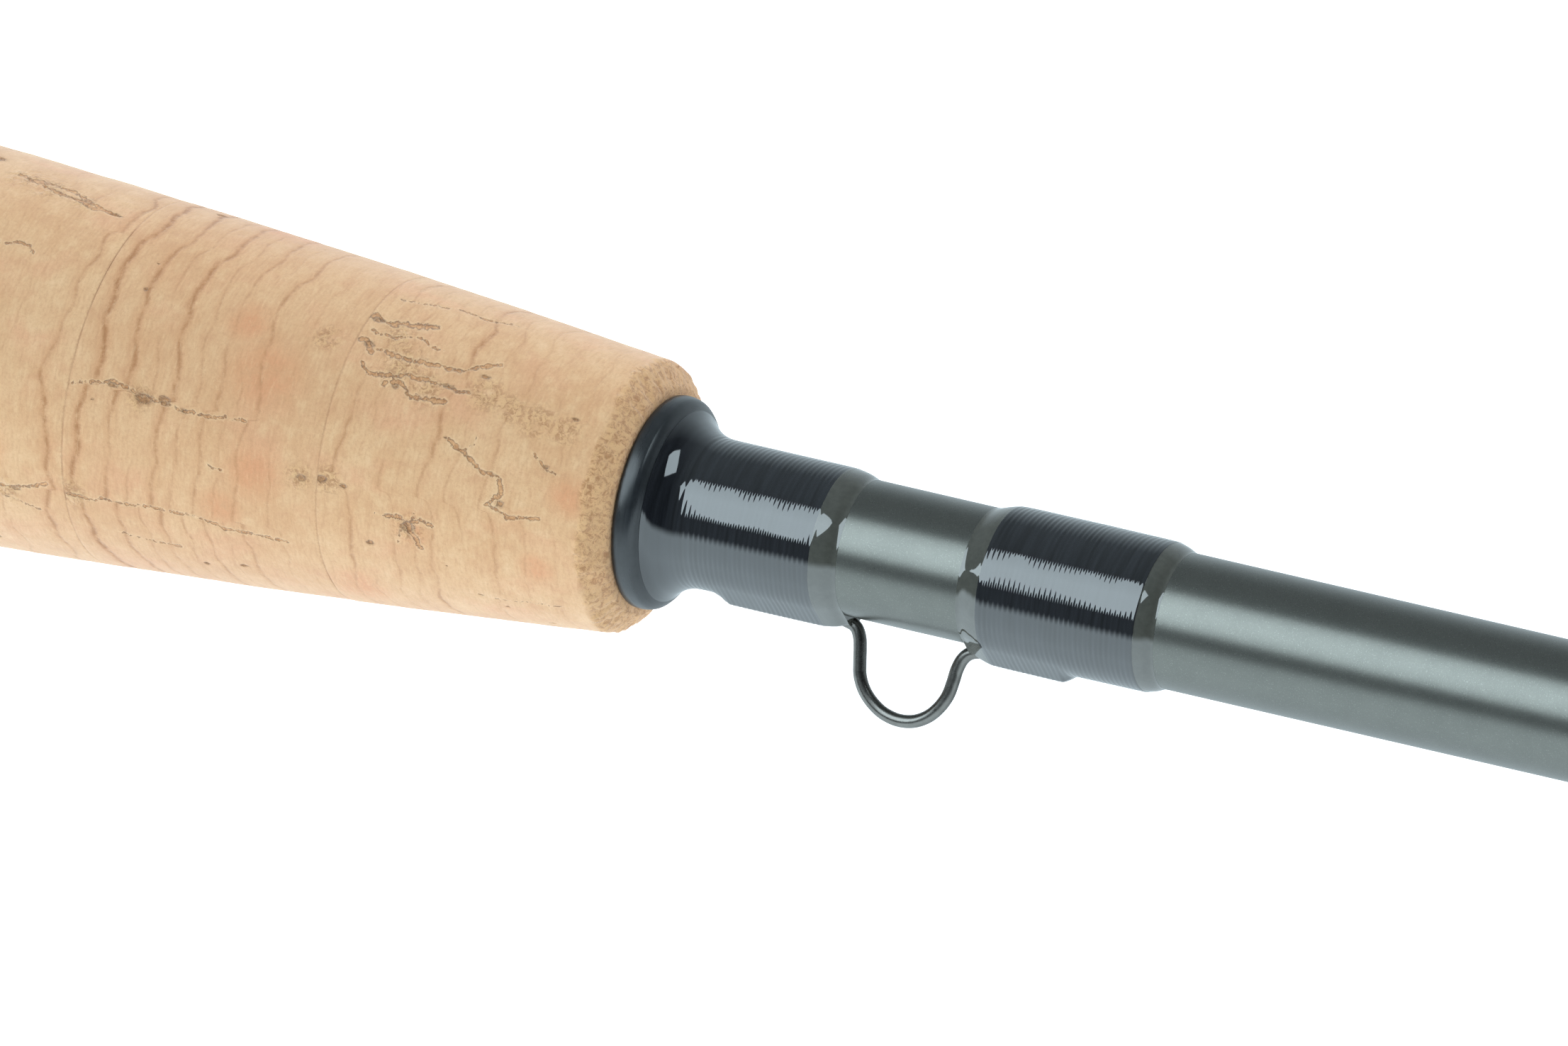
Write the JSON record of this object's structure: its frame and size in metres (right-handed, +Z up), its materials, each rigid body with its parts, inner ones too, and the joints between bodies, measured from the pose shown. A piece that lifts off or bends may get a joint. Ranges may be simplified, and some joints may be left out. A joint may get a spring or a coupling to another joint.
{
  "type": "spinning rod",
  "caption": "Light two-piece spinning rod with cork grips, tubular reel seat, spigot ferrule, wrapped wire hook keeper and ringed line guides.",
  "frame": {"origin": "centre of the flat end of the butt cap, on the rod's axis", "axes": "+X along the rod from butt to tip, -Y the side that the guides, hook keeper and reel foot are on, +Z up with the rod lying on its side"},
  "size_m": [1.6794, 0.0517, 0.027],
  "materials": {
    "cork": "sanded natural cork",
    "butt_rubber_cork": "matt rubberised cork",
    "trim_metal": "black anodised",
    "seat_plastic": "satin carbon-filled plastic",
    "arbor_foam": "rigid foam",
    "hood_metal": "gunmetal anodised",
    "nut_plastic": "satin",
    "check_black": "satin black",
    "keeper_wire": "dark gunmetal",
    "wrap_thread": "black thread",
    "wrap_finish": "gloss clear coat over black thread",
    "carbon_blank": "satin grey-green coat on carbon fibre",
    "spigot_carbon": "ground carbon fibre",
    "ceramic": "polished dark ceramic",
    "guide_metal": "gunmetal plated"
  },
  "bodies": {
    "butt_section": {"butt_cap": "butt_rubber_cork", "rear_grip_cork_01": "cork", "rear_grip_cork_02": "cork", "rear_grip_cork_03": "cork", "rear_grip_cork_04": "cork", "rear_grip_cork_05": "cork", "rear_grip_cork_06": "cork", "rear_grip_cork_07": "cork", "rear_grip_cork_08": "cork", "rear_grip_cork_09": "cork", "rear_grip_cork_10": "cork", "rear_trim_ring": "trim_metal", "reel_seat_body": "seat_plastic", "seat_arbor_rear": "arbor_foam", "seat_arbor_front": "arbor_foam", "fixed_hood": "hood_metal", "foregrip_cork_1": "cork", "foregrip_cork_2": "cork", "foregrip_cork_3": "cork", "foregrip_cork_4": "cork", "foregrip_cork_5": "cork", "foregrip_cork_6": "cork", "winding_check": "check_black", "hook_keeper": "keeper_wire", "keeper_wrap_rear": "wrap_thread", "keeper_wrap_front": "wrap_thread", "keeper_finish_rear": "wrap_finish", "keeper_finish_front": "wrap_finish", "blank_butt_section": "carbon_blank", "ferrule_spigot": "spigot_carbon", "ferrule_wrap_butt": "wrap_finish", "guide_1_frame": "guide_metal", "guide_1_ring": "ceramic", "guide_1_wraps": "wrap_finish"},
    "tip_section": {"blank_tip_section": "carbon_blank", "ferrule_wrap_tip": "wrap_finish", "guide_2_frame": "guide_metal", "guide_2_ring": "ceramic", "guide_2_wraps": "wrap_finish", "guide_3_frame": "guide_metal", "guide_3_ring": "ceramic", "guide_3_wraps": "wrap_finish", "guide_4_frame": "guide_metal", "guide_4_ring": "ceramic", "guide_4_wraps": "wrap_finish", "guide_5_frame": "guide_metal", "guide_5_ring": "ceramic", "guide_5_wraps": "wrap_finish", "guide_6_frame": "guide_metal", "guide_6_ring": "ceramic", "guide_6_wraps": "wrap_finish", "tip_top_frame": "guide_metal", "tip_top_ring": "ceramic", "tip_top_wrap": "wrap_finish"},
    "sliding_hood_body": {"sliding_hood": "hood_metal"},
    "lock_nut_body": {"lock_nut": "nut_plastic"}
  },
  "joints": [
    {"name": "ferrule_slide", "type": "slide", "parent": "butt_section", "child": "tip_section", "axis": [1, 0, 0], "range_m": [0, 0.06]},
    {"name": "hood_slide", "type": "slide", "parent": "butt_section", "child": "sliding_hood_body", "axis": [1, 0, 0], "range_m": [-0.024, 0]},
    {"name": "nut_spin", "type": "hinge", "parent": "sliding_hood_body", "child": "lock_nut_body", "pos_m": [0.25, 0, 0], "axis": [1, 0, 0], "range_deg": [-5770, 10]}
  ],
  "couplings": [
    {"joint": "nut_spin", "follows": "hood_slide", "rad_per_m": 4188.8}
  ]
}
